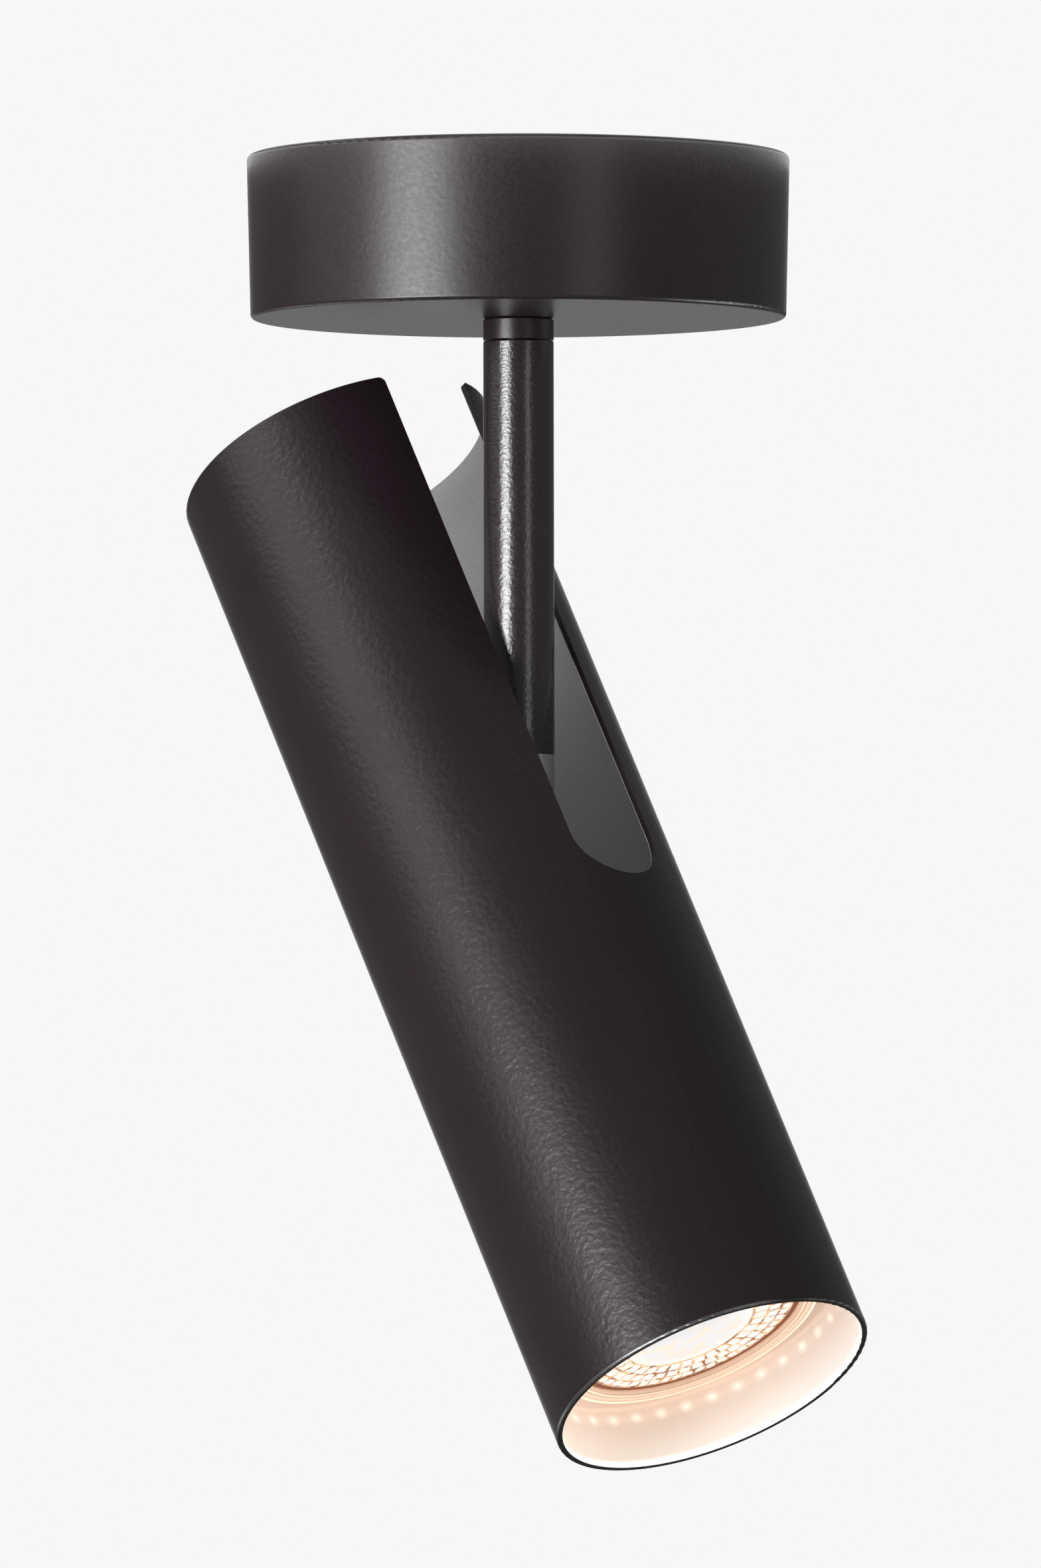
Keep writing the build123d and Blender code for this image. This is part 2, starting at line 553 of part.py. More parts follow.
def swivel_nipple():
    """The hollow shaft that the leads run through, threaded into the stem's plug."""
    return ring(NIPPLE_RADIUS, NIPPLE_BORE_RADIUS, STEM_TOP - PLUG_LENGTH, NIPPLE_TOP)


def nipple_bush():
    """The plastic bush that keeps the leads off the nipple's sharp top edge."""
    outer = NIPPLE_BORE_RADIUS - SEAT_GAP
    bush = rod(outer, NIPPLE_TOP - BUSH_LENGTH, NIPPLE_TOP)
    lip = rod(NIPPLE_RADIUS, NIPPLE_TOP, NIPPLE_TOP + BUSH_LIP)
    bush += fillet(lip.edges().group_by(Axis.Z)[-1], BUSH_LIP * SOFT_EDGE)
    return bush - rod(outer - BUSH_WALL, NIPPLE_TOP - BUSH_LENGTH - REACH, NIPPLE_TOP + BUSH_LIP + REACH)


def stem_plug():
    """The threaded plug pressed into the stem's top end."""
    return ring(STEM_BORE_RADIUS - SEAT_GAP, NIPPLE_RADIUS + SEAT_GAP, STEM_TOP - PLUG_LENGTH, STEM_TOP)


def stem_tube():
    """The straight black tube between the collar and the knuckle."""
    outer = rod(STEM_RADIUS, STEM_BOTTOM, STEM_TOP)
    outer = fillet(outer.edges().filter_by(GeomType.CIRCLE), STEM_END_ROUND)
    return outer - rod(STEM_BORE_RADIUS, STEM_BOTTOM - REACH, STEM_TOP + REACH)


def across(shape):
    """Turns a piece on the Z axis to lie along the hinge, with its top towards +Y."""
    return Rot(X=-90) * shape


def hinge_knuckle():
    """A plated bar as thick as the stem, milled to a tongue round the hinge, with a way out for the leads."""
    half = TONGUE_THICKNESS / 2
    barrel = rod(STEM_RADIUS, TONGUE_LENGTH, STEM_END_ABOVE_PIVOT)
    shank = rod(STEM_RADIUS, 0, TONGUE_LENGTH)
    slab = block((-STEM_RADIUS, STEM_RADIUS), (-half, half), (0, TONGUE_LENGTH))
    eye = across(rod(STEM_RADIUS, -half, half))
    spigot_top = STEM_END_ABOVE_PIVOT + SPIGOT_LENGTH
    spigot = rod(STEM_BORE_RADIUS - SEAT_GAP, STEM_END_ABOVE_PIVOT, spigot_top)
    knuckle = barrel + (shank & slab) + eye + spigot
    exit_height = STEM_END_ABOVE_PIVOT - LEAD_EXIT_DROP
    way = rod(LEAD_HOLE_DIAMETER / 2, exit_height, spigot_top + REACH)
    way += Pos(0, 0, exit_height) * Sphere(LEAD_HOLE_DIAMETER / 2)
    way += Pos(0, 0, exit_height) * Rot(Y=-90) * rod(LEAD_HOLE_DIAMETER / 2, 0, STEM_DIAMETER)
    knuckle -= way
    knuckle -= across(rod(PIVOT_BOLT_RADIUS + RUNNING_GAP, -STEM_DIAMETER, STEM_DIAMETER))
    return Pos(0, 0, -PIVOT_DROP) * knuckle


def pivot_fork():
    """The steel fork that holds the hinge bolt, standing on the bulkhead."""
    span = HOLDER_SCREW_SPACING / 2 + FORK_END_MARGIN
    fork = block((-span, span), (-EAR_OUTSIDE, EAR_OUTSIDE), (FORK_BOTTOM, FORK_TOP))
    fork = fillet(fork.edges().filter_by(Axis.Z), FORK_THICKNESS)
    for low, high in ((-EAR_OUTSIDE, -EAR_INSIDE), (EAR_INSIDE, EAR_OUTSIDE)):
        fork += block((-EAR_RADIUS, EAR_RADIUS), (low, high), (FORK_BOTTOM, 0))
        fork += across(rod(EAR_RADIUS, low, high))
    fork -= across(rod(PIVOT_BOLT_RADIUS + SEAT_GAP, -EAR_OUTSIDE - REACH, EAR_OUTSIDE + REACH))
    return fork - holder_screw_holes(FORK_BOTTOM, FORK_TOP)


def pivot_bolt():
    """The hinge bolt, with its head on one ear and its thread past the nut on the other."""
    length = 2 * EAR_OUTSIDE + PIVOT_SPRING_HEIGHT + PIVOT_NUT_HEIGHT + PIVOT_BOLT_PROUD
    head_radius = PIVOT_BOLT_RADIUS + PIVOT_HEAD_RIM
    bolt = screw(PIVOT_BOLT_RADIUS, length, head_radius, PIVOT_HEAD_HEIGHT, PIVOT_KEY)
    return Pos(0, -EAR_OUTSIDE, 0) * across(Rot(X=180) * bolt)


def pivot_washers():
    """The two friction washers between the knuckle's tongue and the fork's ears."""
    low = EAR_INSIDE - PIVOT_WASHER_THICKNESS
    washer = ring(STEM_RADIUS, PIVOT_BOLT_RADIUS + SEAT_GAP, low, EAR_INSIDE)
    return Compound([across(washer), across(Rot(X=180) * washer)])


def pivot_spring_washer():
    """The spring washer that keeps the hinge stiff, under the nut."""
    outer = PIVOT_BOLT_RADIUS + PIVOT_NUT_RIM
    high = EAR_OUTSIDE + PIVOT_SPRING_HEIGHT
    return across(cupped_washer(outer, PIVOT_BOLT_RADIUS + SEAT_GAP, EAR_OUTSIDE, high))


def pivot_nut():
    """The hinge bolt's lock nut."""
    low = EAR_OUTSIDE + PIVOT_SPRING_HEIGHT
    return across(nut(PIVOT_BOLT_RADIUS, PIVOT_NUT_RIM, low, low + PIVOT_NUT_HEIGHT))


def shade_screw_place(angle):
    """A radial seat on the tube's outside, at the height of the bulkhead's skirt."""
    return Rot(Z=angle) * Pos(SHADE_RADIUS, 0, SHADE_SCREW_HEIGHT) * Rot(Y=90)


def shade_tube():
    """The tube: open at both ends, with a slot from its top end down past the hinge for the stem."""
    outer = rod(SHADE_RADIUS, SHADE_BOTTOM, SHADE_ABOVE_PIVOT)
    tube = outer - rod(SHADE_INNER_RADIUS, SHADE_BOTTOM - REACH, SHADE_ABOVE_PIVOT + REACH)
    edge_round = min(SHADE_EDGE_ROUND, ROUND_LIMIT * SHADE_WALL / 2)
    tube = fillet(tube.edges().filter_by(GeomType.CIRCLE), edge_round)
    half = SLOT_WIDTH / 2
    end_centre = SLOT_END + half
    opening = block((0, SHADE_RADIUS + REACH), (-half, half), (end_centre, SHADE_ABOVE_PIVOT + REACH))
    opening += Pos(0, 0, end_centre) * Rot(Y=90) * rod(half, 0, SHADE_RADIUS + REACH)
    for side in (-1, 1):
        opening += slot_corner(side)
    tube -= opening
    for angle in SHADE_SCREW_ANGLES:
        hole = rod(SHADE_SCREW_DIAMETER / 2 + SEAT_GAP, -SHADE_WALL - REACH, REACH)
        tube -= shade_screw_place(angle) * hole
    return tube


def slot_corner(side):
    """What is cut away to round one of the slot's corners at the tube's top end."""
    edge = side * SLOT_WIDTH / 2
    corner = side * SLOT_CORNER_ROUND
    across_corner = sorted((edge, edge + corner))
    low = SHADE_ABOVE_PIVOT - SLOT_CORNER_ROUND
    length = SHADE_RADIUS + REACH
    waste = block((0, length), across_corner, (low, SHADE_ABOVE_PIVOT + REACH))
    return waste - Pos(0, edge + corner, low) * Rot(Y=90) * rod(SLOT_CORNER_ROUND, 0, length)


def bulkhead():
    """The pressed steel disc across the tube, with a skirt that the tube is screwed to."""
    skirt_bottom = HOLDER_TOP - BULKHEAD_SKIRT
    disc = rod(BULKHEAD_RADIUS, skirt_bottom, FORK_BOTTOM)
    disc = fillet(disc.edges().group_by(Axis.Z)[-1], BULKHEAD_THICKNESS * ROUND_LIMIT)
    cup = disc - rod(BULKHEAD_RADIUS - BULKHEAD_THICKNESS, skirt_bottom - REACH, HOLDER_TOP)
    cup -= holder_screw_holes(HOLDER_TOP, FORK_BOTTOM)
    lead_hole = rod(LEAD_GROMMET_RADIUS + SEAT_GAP, HOLDER_TOP - REACH, FORK_BOTTOM + REACH)
    cup -= Pos(0, LEAD_GROMMET_FROM_AXIS, 0) * lead_hole
    for angle in SHADE_SCREW_ANGLES:
        thread = rod(SHADE_SCREW_DIAMETER / 2 + SEAT_GAP, -SHADE_SCREW_LENGTH, 0)
        cup -= shade_screw_place(angle) * thread
    return cup


def bulkhead_grommet():
    """The rubber bush that takes the lamp's leads through the bulkhead."""
    low = HOLDER_TOP - LEAD_GROMMET_LIP
    high = FORK_BOTTOM + LEAD_GROMMET_LIP
    body = rod(LEAD_GROMMET_RADIUS, HOLDER_TOP, FORK_BOTTOM)
    body += rod(LEAD_GROMMET_LIP_RADIUS, FORK_BOTTOM, high)
    body += rod(LEAD_GROMMET_LIP_RADIUS, low, HOLDER_TOP)
    body -= rod(LEAD_GROMMET_BORE / 2, low - REACH, high + REACH)
    return Pos(0, LEAD_GROMMET_FROM_AXIS, 0) * body


def shade_screws():
    """The two screws through the tube's back into the bulkhead's skirt."""
    head_radius = SHADE_HEAD_DIAMETER / 2
    length = SHADE_SCREW_LENGTH
    fixing = screw(SHADE_SCREW_DIAMETER / 2, length, head_radius, SHADE_HEAD_HEIGHT, SHADE_SCREW_KEY)
    return Compound([shade_screw_place(angle) * fixing for angle in SHADE_SCREW_ANGLES])


def holder_screw_places():
    """The two screws that clamp holder, bulkhead and fork together."""
    return [Pos(side * HOLDER_SCREW_SPACING / 2, 0, 0) for side in (-1, 1)]


def holder_screw_holes(low, high):
    """The holes for those screws through a plate between two heights."""
    hole = rod(HOLDER_SCREW_DIAMETER / 2 + SEAT_GAP, low - REACH, high + REACH)
    places = holder_screw_places()
    return places[0] * hole + places[1] * hole


def keyway(radius, low, high):
    """The curved way of one pin, from its locked place round to where it comes out."""
    end = rod(radius, low, high)
    middle = PIN_SPACING / 2
    section = Plane.XZ * Pos(middle, (low + high) / 2) * Rectangle(2 * radius, high - low)
    sweep = revolve(section, Axis.Z, TWIST_ANGLE)
    way = Rot(Z=-TWIST_ANGLE) * sweep
    way += Pos(middle, 0, 0) * end
    way += Rot(Z=-TWIST_ANGLE) * Pos(middle, 0, 0) * end
    return way


def pin_places():
    """The two pins' turns about the lamp's axis, with the lamp locked."""
    return [Rot(Z=angle) for angle in (90, 270)]


def lamp_holder():
    """The ceramic holder: two keyways for the lamp's pins, two screw holes and a channel for the leads."""
    outline = SlotOverall(HOLDER_LENGTH, HOLDER_WIDTH)
    body = Pos(0, 0, HOLDER_FACE) * extrude(outline, HOLDER_HEIGHT)
    entry = rod(KEYWAY_HEAD_RADIUS, HOLDER_FACE - REACH, KEYWAY_TOP)
    tail_hole = rod(CONTACT_TAIL_DIAMETER / 2 + KEYWAY_GAP, KEYWAY_TOP - REACH, HOLDER_TOP + REACH)
    for turn in pin_places():
        body -= turn * keyway(KEYWAY_NECK_RADIUS, HOLDER_FACE - REACH, KEYWAY_TOP)
        body -= turn * keyway(KEYWAY_HEAD_RADIUS, HOLDER_FACE + KEYWAY_PLATE, KEYWAY_TOP)
        body -= turn * Rot(Z=-TWIST_ANGLE) * Pos(PIN_SPACING / 2, 0, 0) * entry
        body -= turn * Pos(PIN_SPACING / 2, 0, 0) * tail_hole
    half_channel = LEAD_CHANNEL_WIDTH / 2
    channel_bottom = HOLDER_TOP - LEAD_CHANNEL_DEPTH
    body -= block((-half_channel, half_channel), (-HOLDER_WIDTH, HOLDER_WIDTH), (channel_bottom, HOLDER_TOP))
    head_seat = HOLDER_FACE + HOLDER_HEAD_HEIGHT
    head_well = rod(HOLDER_HEAD_DIAMETER / 2 + SEAT_GAP, HOLDER_FACE - REACH, head_seat)
    for place in holder_screw_places():
        body -= place * head_well
    return body - holder_screw_holes(HOLDER_FACE, HOLDER_TOP)


def holder_contacts():
    """The two brass contacts over the pins' heads, each with a tail for its lead."""
    plate = keyway(KEYWAY_HEAD_RADIUS - SEAT_GAP, KEYWAY_TOP - CONTACT_THICKNESS, KEYWAY_TOP)
    tail = rod(CONTACT_TAIL_DIAMETER / 2, KEYWAY_TOP, KEYWAY_TOP + CONTACT_TAIL_LENGTH)
    contact = plate + Pos(PIN_SPACING / 2, 0, 0) * tail
    return Compound([turn * contact for turn in pin_places()])


def holder_screws():
    """The two long screws up through the holder and the bulkhead into the fork's floor."""
    seat = HOLDER_FACE + HOLDER_HEAD_HEIGHT
    head_radius = HOLDER_HEAD_DIAMETER / 2
    length = FORK_TOP - seat
    fixing = screw(HOLDER_SCREW_DIAMETER / 2, length, head_radius, HOLDER_HEAD_HEIGHT, HOLDER_SCREW_KEY)
    return Compound([place * Pos(0, 0, seat) * Rot(X=180) * fixing for place in holder_screw_places()])


def lamp_bezel():
    """The lamp's flat front rim."""
    rim = rod(LAMP_DIAMETER / 2, LAMP_FACE, SHELL_FRONT)
    rim = fillet(rim.edges().group_by(Axis.Z)[0], BEZEL_ROUND)
    return rim - rod(LENS_RADIUS + SEAT_GAP, LAMP_FACE - REACH, SHELL_FRONT + REACH)


def lamp_lens():
    """The lamp's clear front, a disc with a low dome."""
    rim_front = LENS_FRONT + LENS_DOME
    back = LENS_FRONT + LENS_THICKNESS
    dome_radius = (LENS_RADIUS**2 + LENS_DOME**2) / (2 * LENS_DOME)
    ball = Pos(0, 0, LENS_FRONT + dome_radius) * Sphere(dome_radius)
    return rod(LENS_RADIUS, LENS_FRONT, back) & (ball + rod(LENS_RADIUS, rim_front, back))


def lamp_shell():
    """The lamp's finned housing, hollow in front for the light source."""
    rim_radius = LAMP_DIAMETER / 2
    back_radius = SHELL_BACK_DIAMETER / 2
    cone_length = SHELL_BACK - SHELL_CONE
    middle = Pos(0, 0, (SHELL_CONE + SHELL_BACK) / 2)
    outer = middle * Cone(rim_radius, back_radius, cone_length)
    core = middle * Cone(rim_radius - FIN_DEPTH, back_radius - FIN_DEPTH, cone_length)
    plate = block((0, rim_radius), (-FIN_THICKNESS / 2, FIN_THICKNESS / 2), (SHELL_CONE, SHELL_BACK))
    plates = [Rot(Z=360 * fin / FIN_COUNT) * plate for fin in range(FIN_COUNT)]
    shell = core + [outer & fin for fin in plates]
    shell += rod(rim_radius, SHELL_FRONT, SHELL_CONE)
    cavity_radius = cavity_back_radius()
    front_radius = rim_radius - SHELL_WALL
    height = CAVITY_BACK - SHELL_FRONT
    cavity = Pos(0, 0, (SHELL_FRONT + CAVITY_BACK) / 2) * Cone(front_radius, cavity_radius, height)
    return shell - cavity


def cavity_back_radius():
    """The radius of the flat that the light source stands on, inside the finned cone."""
    rim_radius = LAMP_DIAMETER / 2
    lean = (rim_radius - SHELL_BACK_DIAMETER / 2) / (SHELL_BACK - SHELL_CONE)
    past_rim = max(0.0, CAVITY_BACK - SHELL_CONE)
    return rim_radius - FIN_DEPTH - SHELL_WALL - lean * past_rim


def lamp_board():
    """The round board that carries the light emitters."""
    radius = cavity_back_radius() - SEAT_GAP
    return rod(radius, CAVITY_BACK - BOARD_THICKNESS, CAVITY_BACK)


def lamp_leds():
    """The ring of emitters on the board."""
    top = CAVITY_BACK - BOARD_THICKNESS
    half = LED_SIZE / 2
    led = Pos(LED_CIRCLE / 2, 0, 0) * block((-half, half), (-half, half), (top - LED_HEIGHT, top))
    return Compound([Rot(Z=360 * index / LED_COUNT) * led for index in range(LED_COUNT)])


def lamp_cap():
    """The lamp's insulating base, which the pins stand in."""
    length = PIN_SPACING + PIN_HEAD_DIAMETER + 2 * CAP_MARGIN
    body = Pos(0, 0, SHELL_BACK) * extrude(SlotOverall(length, CAP_WIDTH), CAP_LENGTH)
    body = fillet(body.edges().group_by(Axis.Z)[-1], CAP_MARGIN * SOFT_EDGE)
    hole = rod(PIN_NECK_DIAMETER / 2 + SEAT_GAP, LAMP_BACK - PIN_ROOT, LAMP_BACK + REACH)
    for side in (-1, 1):
        body -= Pos(side * PIN_SPACING / 2, 0, 0) * hole
    return pin_places()[0] * body


def lamp_pins():
    """The two headed pins that lock in the holder's keyways."""
    pin = rod(PIN_NECK_DIAMETER / 2, LAMP_BACK - PIN_ROOT, PIN_HEAD_BOTTOM)
    head = rod(PIN_HEAD_DIAMETER / 2, PIN_HEAD_BOTTOM, PIN_TOP)
    pin += fillet(head.edges().group_by(Axis.Z)[-1], PIN_HEAD_ROUND)
    return Compound([turn * Pos(PIN_SPACING / 2, 0, 0) * pin for turn in pin_places()])


FIXED_PIECES = [
    canopy,
    ceiling_bracket,
    canopy_screws,
    cable_grommet,
    terminal_block,
    terminal_sleeves,
    terminal_screws,
    terminal_fixing_screw,
    earth_washer,
    earth_screw,
    swivel_collar,
    swivel_stop_plate,
    collar_nut,
    swivel_friction_washer,
    swivel_stop_arm,
    swivel_spring_washer,
    swivel_nut,
    swivel_nipple,
    nipple_bush,
    stem_plug,
    stem_tube,
    hinge_knuckle,
]
HEAD_PIECES = [
    pivot_fork,
    pivot_bolt,
    pivot_washers,
    pivot_spring_washer,
    pivot_nut,
    shade_tube,
    bulkhead,
    bulkhead_grommet,
    shade_screws,
    lamp_holder,
    holder_contacts,
    holder_screws,
    lamp_bezel,
    lamp_lens,
    lamp_shell,
    lamp_board,
    lamp_leds,
    lamp_cap,
    lamp_pins,
]

os.makedirs("parts", exist_ok=True)
for piece in FIXED_PIECES:
    export_step(piece(), f"parts/{piece.__name__}.step")
for piece in HEAD_PIECES:
    export_step(HEAD_PLACE * piece(), f"parts/{piece.__name__}.step")
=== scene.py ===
import math

import bmesh
import bpy
from mathutils import Matrix, Vector

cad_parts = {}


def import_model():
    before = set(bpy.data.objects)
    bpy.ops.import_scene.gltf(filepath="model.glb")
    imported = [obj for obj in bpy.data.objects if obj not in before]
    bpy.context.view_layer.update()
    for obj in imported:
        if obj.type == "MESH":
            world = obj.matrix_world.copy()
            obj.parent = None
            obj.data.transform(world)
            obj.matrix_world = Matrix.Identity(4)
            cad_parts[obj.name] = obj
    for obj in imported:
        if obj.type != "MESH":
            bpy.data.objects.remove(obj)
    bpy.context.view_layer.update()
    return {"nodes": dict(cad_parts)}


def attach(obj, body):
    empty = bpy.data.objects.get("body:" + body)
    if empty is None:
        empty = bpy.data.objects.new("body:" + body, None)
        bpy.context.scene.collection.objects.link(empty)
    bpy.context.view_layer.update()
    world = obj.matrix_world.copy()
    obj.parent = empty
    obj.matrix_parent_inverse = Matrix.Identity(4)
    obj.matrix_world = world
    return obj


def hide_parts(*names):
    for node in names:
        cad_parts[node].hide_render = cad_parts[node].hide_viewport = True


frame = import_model()

MM = 0.001
FULL_TURN = 2 * math.pi
HEAD_TILT = math.radians(31.0)
HINGE = Vector((0.0, 0.0, -139.0 * MM))
HEAD = Matrix.Translation(HINGE) @ Matrix.Rotation(-HEAD_TILT, 4, "Y")

# The tube and the lamp, in millimetres in the tube's own frame: the hinge is at zero, the mouth below it
TUBE_INNER = 28.8
TUBE_OUTER = 30.0
TUBE_MOUTH = -102.0
LAMP_FACE = -91.0
LAMP_RADIUS = 25.0
BEZEL_BACK = -88.5
BEZEL_SIDES = 144
LENS_RADIUS = 21.8
LENS_FRONT = -90.6
LENS_BACK = -87.6
LENS_DOME = 0.8
LENS_SIDES = 360
LENS_MIDDLE = (0.8, 3.0, 5.5, 8.0, 10.0, 11.5)  # the rows of points in the plain middle
FACET_RINGS = ((12.4, 15.4, 36), (15.4, 18.0, 42), (18.0, 20.15, 54))  # from, to, facets round
FACET_ROWS = 8
FACET_RISE = 0.28
SHARP_EDGE = math.radians(32.0)

# The photo's view
VIEW_SIDE = math.radians(48.503)
VIEW_RISE = math.radians(2.49)
VIEW_ROLL = math.radians(-0.107)
VIEW_LENS = 353.4
SENSOR_WIDTH = 36.0
VIEW_END = 100.0
EYE = Vector((2.1167, -1.8722, -0.2386))

# Black coats. Scales of noise are per metre, and heights of relief in metres
PAINT_IOR = 1.65
STEM_IOR = 1.95  # a hard, shinier black than the powder coat
SPECK_SCALE = 1500.0
NOISE_RANGE = (0.3, 0.7)  # where most of a noise lies
PEBBLE_SCALE = 900.0
PEBBLE_HEIGHT = 70e-6
SKIN_SCALE = 2600.0
SKIN_HEIGHT = 7e-6
STEM_PEBBLE_SCALE = 1700.0
TUBE_PEBBLE_SCALE = 880.0
TUBE_PEBBLE_HEIGHT = 88e-6
TUBE_ROUGHNESS = (0.3, 0.34)

# The mouth's rim. Depths are in millimetres from the mouth, and sides are turns round from the slot
LACQUER_EDGE = (0.05, 0.15)  # where white changes to black, out from the tube's inside
RIM_DEPTH = (0.4, 0.6)
RIM_SHADE_TINT = 0.004  # the end face is painted darker than the coat, as painted shade, and is matt
RIM_ROUGHNESS = 0.55
SMOOTH_DEPTH = (0.5, 1.2)  # nearer the mouth, the coat has flowed smooth
GLINT_CORNER = (0.3, 0.2)  # in from the outside: a lighter metallic stretch of corner, put only on the side where the key lamp glints on it, as a painted highlight
GLINT_TINT = 0.34
GLINT_ROUGHNESS = 0.28
GLINT_SIDE = math.radians(-69.0)
GLINT_SPREAD = (0.5, 0.85)  # the cosine of the turn from its middle, at its ends and where it is full

# The lamp's light on the lacquer, painted on it as a glow: painted light
WALL_DEPTH = (1.0, 8.5)
WALL_GLOW = (0.38, 0.29)  # at the mouth and further in
WEAK_SIDE = math.radians(44.0)  # the side where the painted glow is painted weakest
WEAK_GLOW = 0.62
# painted highlight: a white glow along the lacquer's lip at the mouth
LIP_DEPTH = (0.7, 1.7)
LIP_GLOW = 0.45
# painted light: the spots, the haze and the ring below are the lens's light, painted on the lacquer
SPOT_COUNT = 36
SPOT_DEPTH = 10.0
SPOT_HALF = 1.6
SPOT_WIDTH = 0.33  # half a spot, as a share of the step from spot to spot
SPOT_GLOW = 0.26
HAZE_DEPTH = (8.8, 9.9)
HAZE_GLOW = 0.08
RING_DEPTH = 12.2
RING_HALF = 0.8
RING_GLOW = 0.14
LIGHT_END = (14.0, 30.0)
PALE_DEPTH = (0.5, 2.0)
WARM_DEPTH = (2.0, 9.0)

# The lit front of the lamp
LENS_GLOW = 1.0
LENS_IOR = 1.2  # little gloss, so that the colour of its own light shows
LENS_GAP = (1.5, 1.25)  # in from the lens's edge, where its dark line begins
GAP_GLOW = 0.5
BEZEL_GLOW = (0.6, 0.8)
BEZEL_PROUD = (0.3, 0.08)  # up from the lamp's face
BEZEL_RING_SCALE = 2300.0

# The stage, in metres
TARGET = Vector((0.02, 0.0, -0.13))
PALE = 0.93
ROOM_LIGHT = 0.18
ROOM_GLOSS = 0.14
BACKDROP_HALF = math.radians(6.0)
BACKDROP_FADE = math.radians(18.0)
BACKDROP_TOP = (0.15, 0.4)  # the sine of the height where the backdrop fades out
BACKDROP_FOOT = (-0.3, -0.05)
OVERHEAD = (0.93, 0.98)
FLOOR_HALF = 9.0
FLOOR_CELLS = 8
FLOOR_LEVEL = -0.8
FLOOR_SHARE = 0.85  # how much of what the camera sees of the floor is the plain backdrop
CANOPY_RADIUS = 50.0 * MM
CEILING_WIDTH = 18.0 * MM
CEILING_GAP = 0.3 * MM
CEILING_SIDES = 96
CEILING_GLOW = 1.6

# Soft lamps: degrees to the right of the photo's camera, degrees above the object, distance, width and height
# in metres, and radiance
LAMPS = {
    "key": (-44.5, -4.8, 0.9, 0.42, 0.5, 11.0),
    "kicker": (-87.0, 23.0, 0.9, 0.5, 0.36, 0.88),
    "fill": (31.0, 2.0, 1.8, 0.4, 1.0, 0.95),
    "upper": (-76.0, 38.0, 1.4, 0.5, 0.4, 3.6),
    "rear_right": (100.0, -26.0, 1.2, 0.6, 0.5, 5.0),
    "rear_left": (-136.0, -34.0, 1.2, 0.6, 0.5, 1.2),
    "rear_top": (180.0, 50.0, 1.3, 1.2, 1.0, 1.3),
}


class Nodes:
    """A tree of shader nodes."""

    def __init__(self, tree):
        self.tree = tree

    def node(self, kind, inputs=None, **settings):
        made = self.tree.nodes.new("ShaderNode" + kind)
        for key, value in settings.items():
            setattr(made, key, value)
        for key, value in (inputs or {}).items():
            self.feed(made.inputs[key], value)
        return made

    def feed(self, socket, value):
        """Links a socket, or sets it where the value is a constant."""
        if isinstance(value, bpy.types.NodeSocket):
            self.tree.links.new(value, socket)
        else:
            socket.default_value = value

    def math(self, operation, first, second=0.0):
        made = self.node("Math", {0: first, 1: second}, operation=operation)
        return made.outputs[0]

    def vector(self, operation, first, second=(0.0, 0.0, 0.0)):
        return self.node("VectorMath", {0: first, 1: second}, operation=operation)

    def span(self, value, low, high, new_low, new_high):
        """Takes one range of a value smoothly to another."""
        made = self.node(
            "MapRange",
            {"Value": value, "From Min": low, "From Max": high, "To Min": new_low, "To Max": new_high},
            interpolation_type="SMOOTHSTEP",
        )
        return made.outputs[0]

    def either(self, share, first, second):
        """One shader, or another by a share."""
        return self.node("MixShader", {0: share, 1: first, 2: second}).outputs[0]


class Surface(Nodes):
    """A procedural material, put together node by node."""

    def __init__(self, name):
        self.material = bpy.data.materials.new(name)
        self.material.use_nodes = True
        super().__init__(self.material.node_tree)
        self.shader = self.tree.nodes["Principled BSDF"]
        self.place = self.node("TexCoord").outputs["Object"]

    def set(self, **inputs):
        for key, value in inputs.items():
            self.feed(self.shader.inputs[key.replace("_", " ")], value)

    def noise(self, scale, detail=2.0):
        made = self.node("TexNoise", {"Vector": self.place, "Scale": scale, "Detail": detail})
        return made.outputs["Fac"]

    def spread(self, noise, low, high):
        """Stretches a noise over a range."""
        return self.span(noise, *NOISE_RANGE, low, high)

    def grow(self, length, low, high):
        """From 0 to 1 as a length passes from one number of millimetres to another."""
        return self.span(length, low * MM, high * MM, 0.0, 1.0)

    def fade(self, length, low, high, strength=1.0):
        """From a strength to 0 as a length passes from one number of millimetres to another."""
        return self.span(length, low * MM, high * MM, strength, 0.0)

    def mix(self, share, first, second):
        """A colour between two others."""
        return self.node("Mix", {0: share, 6: first, 7: second}, data_type="RGBA").outputs[2]

    def blend(self, share, first, second):
        """A number between two others."""
        return self.node("Mix", {0: share, 2: first, 3: second}, data_type="FLOAT").outputs[0]

    def bump(self, height, depth, strength, under=None):
        made = self.node("Bump", {"Height": height, "Distance": depth, "Strength": strength})
        if under:
            self.feed(made.inputs["Normal"], under)
        return made.outputs["Normal"]

    def show_front(self, shown):
        """Shows a shader on the front of the faces and leaves their back clear."""
        back = self.node("NewGeometry").outputs["Backfacing"]
        clear = self.node("BsdfTransparent").outputs[0]
        self.feed(self.tree.nodes["Material Output"].inputs["Surface"], self.either(back, shown, clear))


def colour(red, green, blue):
    return (red, green, blue, 1.0)


def grey(tone):
    return colour(tone, tone, tone)


def powder_grain(surface, strength, scale=PEBBLE_SCALE, height=PEBBLE_HEIGHT):
    """The fine pebbled skin of powder coat."""
    pebbles = surface.bump(surface.noise(scale, 1.5), height, strength)
    return surface.bump(surface.noise(SKIN_SCALE, 1.0), SKIN_HEIGHT, strength, pebbles)


def black_tint(surface):
    """The paint's black, with a trace of plum and cloudy by a little."""
    clouds = surface.noise(70.0, 3.0)
    return surface.mix(clouds, colour(0.0145, 0.008, 0.0122), colour(0.0215, 0.0128, 0.0185))


